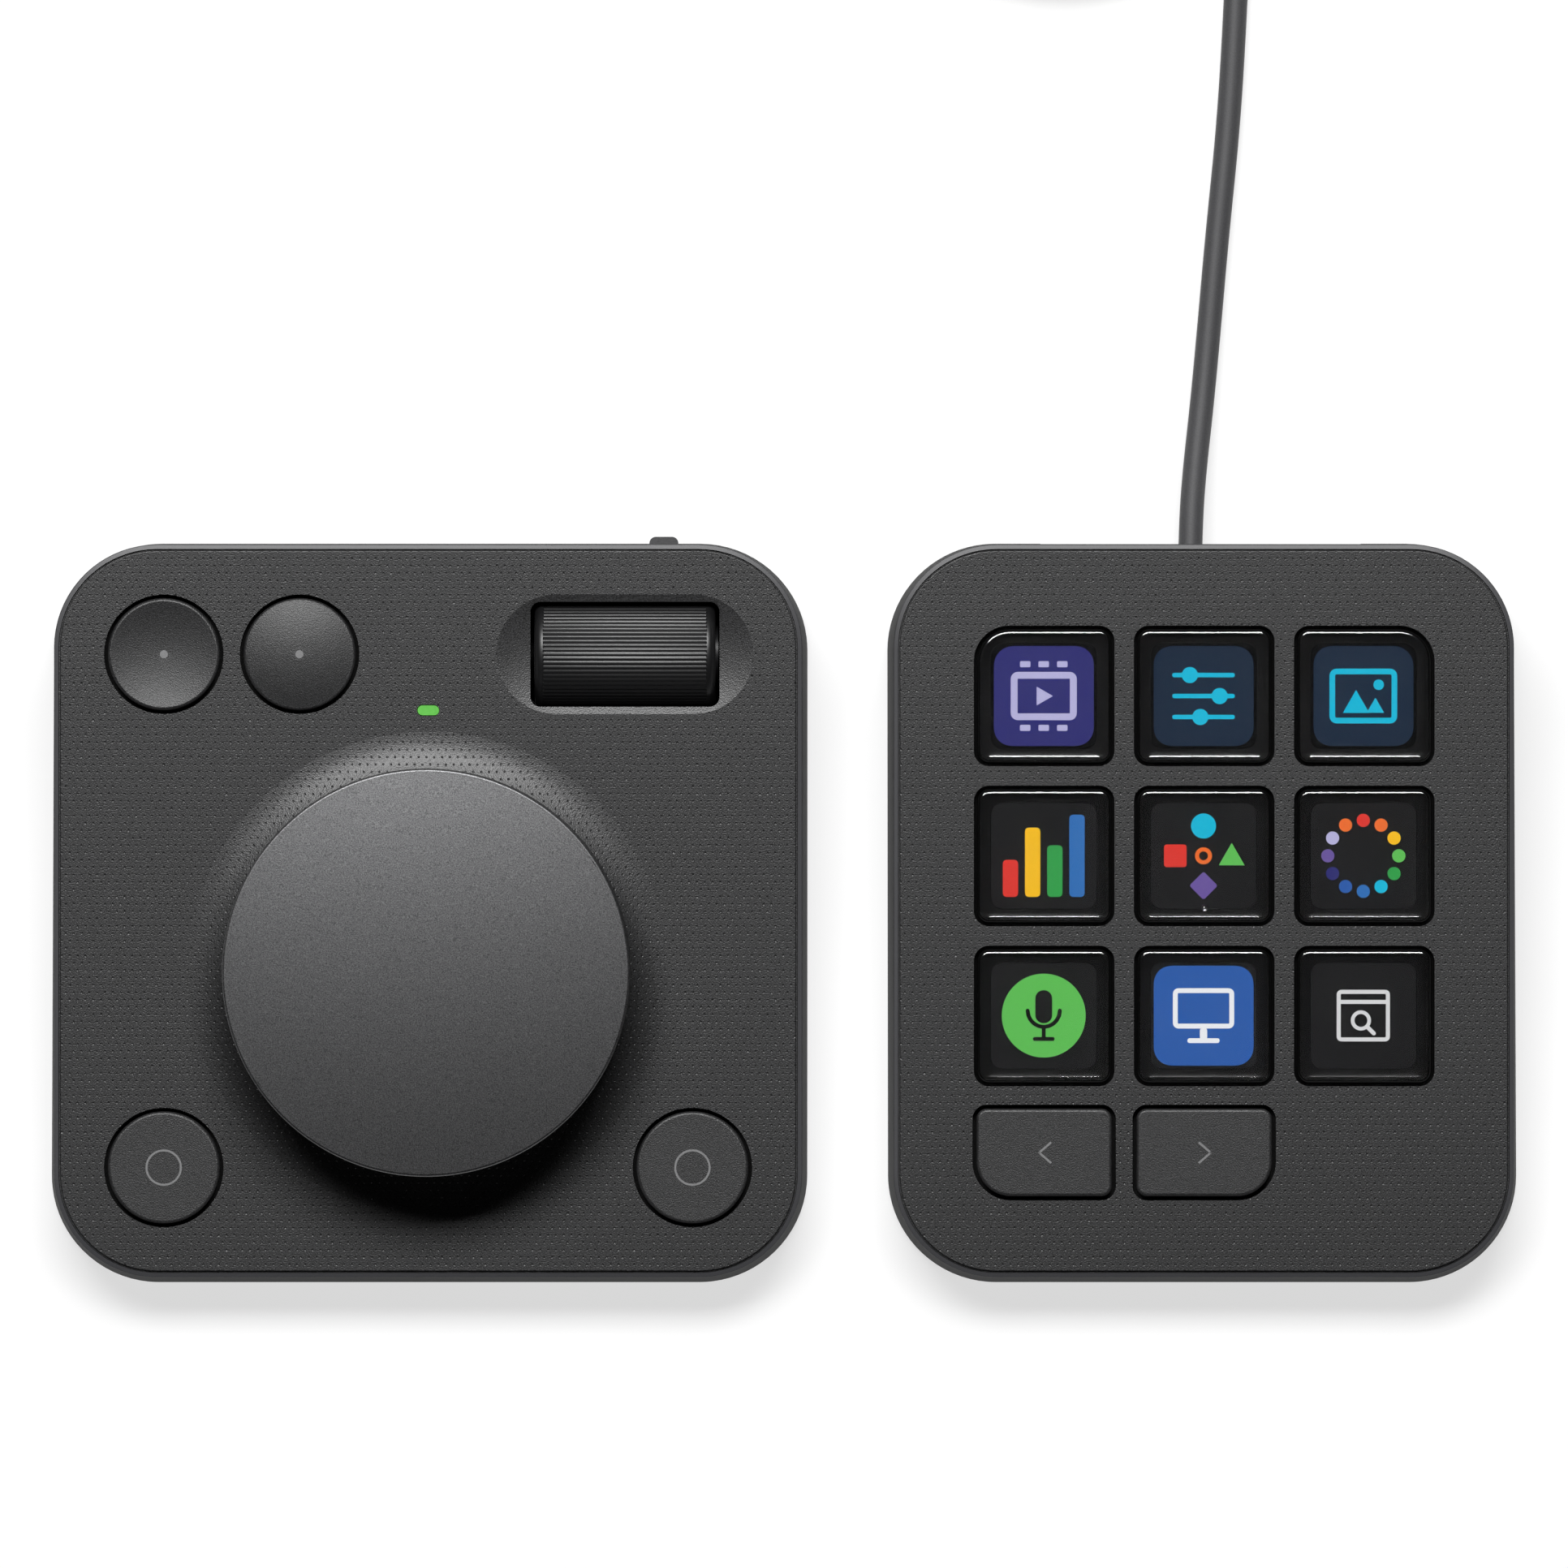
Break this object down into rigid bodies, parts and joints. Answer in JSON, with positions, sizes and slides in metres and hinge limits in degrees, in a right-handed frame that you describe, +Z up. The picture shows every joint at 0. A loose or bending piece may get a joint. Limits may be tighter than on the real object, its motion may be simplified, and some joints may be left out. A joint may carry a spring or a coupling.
{
  "type": "macro keypad with knobs",
  "caption": "Two sloping desk control pads side by side: one with a large dial, a thumb roller and round buttons, one with clear display keys over a colour screen and a cable.",
  "frame": {"origin": "on the desk, under the middle of the two pads' bounding box, without the cable", "axes": "+X to the right along both pads, +Y to the rear where the cable leaves, +Z up"},
  "size_m": [0.182, 0.2281, 0.0298],
  "materials": {
    "face": "finely dimpled matt graphite",
    "shell": "satin graphite",
    "base": "fine matt grain",
    "foot_rubber": "matt",
    "steel": "plain",
    "dial_metal": "satin black anodised",
    "bearing": "plain",
    "inner_plastic": "matt black",
    "roller_plastic": "satin black with fine ribs",
    "button_plastic": "fine satin grain",
    "key_clear": "clear and polished",
    "mat_rubber": "matt",
    "display_glass": "polished",
    "backlight": "white",
    "board": "circuit board green",
    "light": "clear, lit green",
    "cell_jacket": "plain wrapped can",
    "contact_metal": "nickel",
    "cable_jacket": "matt black jacket"
  },
  "bodies": {
    "pads": {"dialpad_top_cover": "face", "keypad_top_cover": "face", "dialpad_housing": "shell", "keypad_housing": "shell", "dialpad_base": "base", "keypad_base": "base", "dialpad_feet": "foot_rubber", "keypad_feet": "foot_rubber", "dialpad_screws": "steel", "keypad_screws": "steel", "dial_bearing": "bearing", "dial_sensor": "inner_plastic", "roller_bracket": "inner_plastic", "key_guide_frame": "inner_plastic", "button_switches": "inner_plastic", "page_key_switches": "inner_plastic", "power_switch_body": "inner_plastic", "key_mat": "mat_rubber", "display_panel": "display_glass", "display_backlight": "backlight", "button_board": "board", "dialpad_main_board": "board", "keypad_main_board": "board", "page_key_board": "board", "usb_board": "board", "light_window": "light", "battery_cells": "cell_jacket", "battery_contacts": "contact_metal", "usb_socket": "contact_metal", "plug_shell_keypad": "contact_metal", "plug_shell_far": "contact_metal", "plug_grip_keypad": "cable_jacket", "plug_grip_far": "cable_jacket", "cable_lead": "cable_jacket", "cable_coil": "cable_jacket", "cable_tail": "cable_jacket"},
    "dial": {"dial_knob": "dial_metal", "dial_top_disc": "dial_metal", "dial_shaft": "steel", "dial_code_wheel": "inner_plastic"},
    "thumb_roller": {"roller": "roller_plastic", "roller_axle": "steel", "roller_code_wheel": "inner_plastic"},
    "button_rear_left": {"round_button_rear_left": "button_plastic"},
    "button_rear_middle": {"round_button_rear_middle": "button_plastic"},
    "button_front_left": {"round_button_front_left": "button_plastic"},
    "button_front_right": {"round_button_front_right": "button_plastic"},
    "power_slider": {"power_switch_knob": "button_plastic"},
    "battery_lid": {"battery_door": "base"},
    "page_left": {"page_key_left": "button_plastic"},
    "page_right": {"page_key_right": "button_plastic"},
    "key_1": {"display_key_1": "key_clear"},
    "key_2": {"display_key_2": "key_clear"},
    "key_3": {"display_key_3": "key_clear"},
    "key_4": {"display_key_4": "key_clear"},
    "key_5": {"display_key_5": "key_clear"},
    "key_6": {"display_key_6": "key_clear"},
    "key_7": {"display_key_7": "key_clear"},
    "key_8": {"display_key_8": "key_clear"},
    "key_9": {"display_key_9": "key_clear"}
  },
  "joints": [
    {"name": "dial_turn", "type": "hinge", "parent": "pads", "child": "dial", "pos_m": [-0.04403, -0.0092, 0.01875], "axis": [0, -0.1097, 0.994], "continuous": true},
    {"name": "roller_turn", "type": "hinge", "parent": "pads", "child": "thumb_roller", "pos_m": [-0.01968, 0.03092, 0.01302], "axis": [1, 0, 0], "continuous": true},
    {"name": "button_rear_left_press", "type": "slide", "parent": "pads", "child": "button_rear_left", "axis": [0, 0.1097, -0.994], "range_m": [0, 0.0005], "stiffness_N_per_m": 2000, "springref_m": -0.0004},
    {"name": "button_rear_middle_press", "type": "slide", "parent": "pads", "child": "button_rear_middle", "axis": [0, 0.1097, -0.994], "range_m": [0, 0.0005], "stiffness_N_per_m": 2000, "springref_m": -0.0004},
    {"name": "button_front_left_press", "type": "slide", "parent": "pads", "child": "button_front_left", "axis": [0, 0.1097, -0.994], "range_m": [0, 0.0005], "stiffness_N_per_m": 2000, "springref_m": -0.0004},
    {"name": "button_front_right_press", "type": "slide", "parent": "pads", "child": "button_front_right", "axis": [0, 0.1097, -0.994], "range_m": [0, 0.0005], "stiffness_N_per_m": 2000, "springref_m": -0.0004},
    {"name": "key_1_press", "type": "slide", "parent": "pads", "child": "key_1", "axis": [0, 0.1097, -0.994], "range_m": [0, 0.0015], "stiffness_N_per_m": 400, "springref_m": -0.0008},
    {"name": "key_2_press", "type": "slide", "parent": "pads", "child": "key_2", "axis": [0, 0.1097, -0.994], "range_m": [0, 0.0015], "stiffness_N_per_m": 400, "springref_m": -0.0008},
    {"name": "key_3_press", "type": "slide", "parent": "pads", "child": "key_3", "axis": [0, 0.1097, -0.994], "range_m": [0, 0.0015], "stiffness_N_per_m": 400, "springref_m": -0.0008},
    {"name": "key_4_press", "type": "slide", "parent": "pads", "child": "key_4", "axis": [0, 0.1097, -0.994], "range_m": [0, 0.0015], "stiffness_N_per_m": 400, "springref_m": -0.0008},
    {"name": "key_5_press", "type": "slide", "parent": "pads", "child": "key_5", "axis": [0, 0.1097, -0.994], "range_m": [0, 0.0015], "stiffness_N_per_m": 400, "springref_m": -0.0008},
    {"name": "key_6_press", "type": "slide", "parent": "pads", "child": "key_6", "axis": [0, 0.1097, -0.994], "range_m": [0, 0.0015], "stiffness_N_per_m": 400, "springref_m": -0.0008},
    {"name": "key_7_press", "type": "slide", "parent": "pads", "child": "key_7", "axis": [0, 0.1097, -0.994], "range_m": [0, 0.0015], "stiffness_N_per_m": 400, "springref_m": -0.0008},
    {"name": "key_8_press", "type": "slide", "parent": "pads", "child": "key_8", "axis": [0, 0.1097, -0.994], "range_m": [0, 0.0015], "stiffness_N_per_m": 400, "springref_m": -0.0008},
    {"name": "key_9_press", "type": "slide", "parent": "pads", "child": "key_9", "axis": [0, 0.1097, -0.994], "range_m": [0, 0.0015], "stiffness_N_per_m": 400, "springref_m": -0.0008},
    {"name": "page_left_press", "type": "slide", "parent": "pads", "child": "page_left", "axis": [0, 0.1097, -0.994], "range_m": [0, 0.0008], "stiffness_N_per_m": 1000, "springref_m": -0.0006},
    {"name": "page_right_press", "type": "slide", "parent": "pads", "child": "page_right", "axis": [0, 0.1097, -0.994], "range_m": [0, 0.0008], "stiffness_N_per_m": 1000, "springref_m": -0.0006},
    {"name": "power_slide", "type": "slide", "parent": "pads", "child": "power_slider", "axis": [1, 0, 0], "range_m": [-0.0025, 0]},
    {"name": "battery_lid_swing", "type": "hinge", "parent": "pads", "child": "battery_lid", "pos_m": [-0.04403, 0.00277, 0.0012], "axis": [-1, 0, 0], "range_deg": [0, 75]}
  ]
}
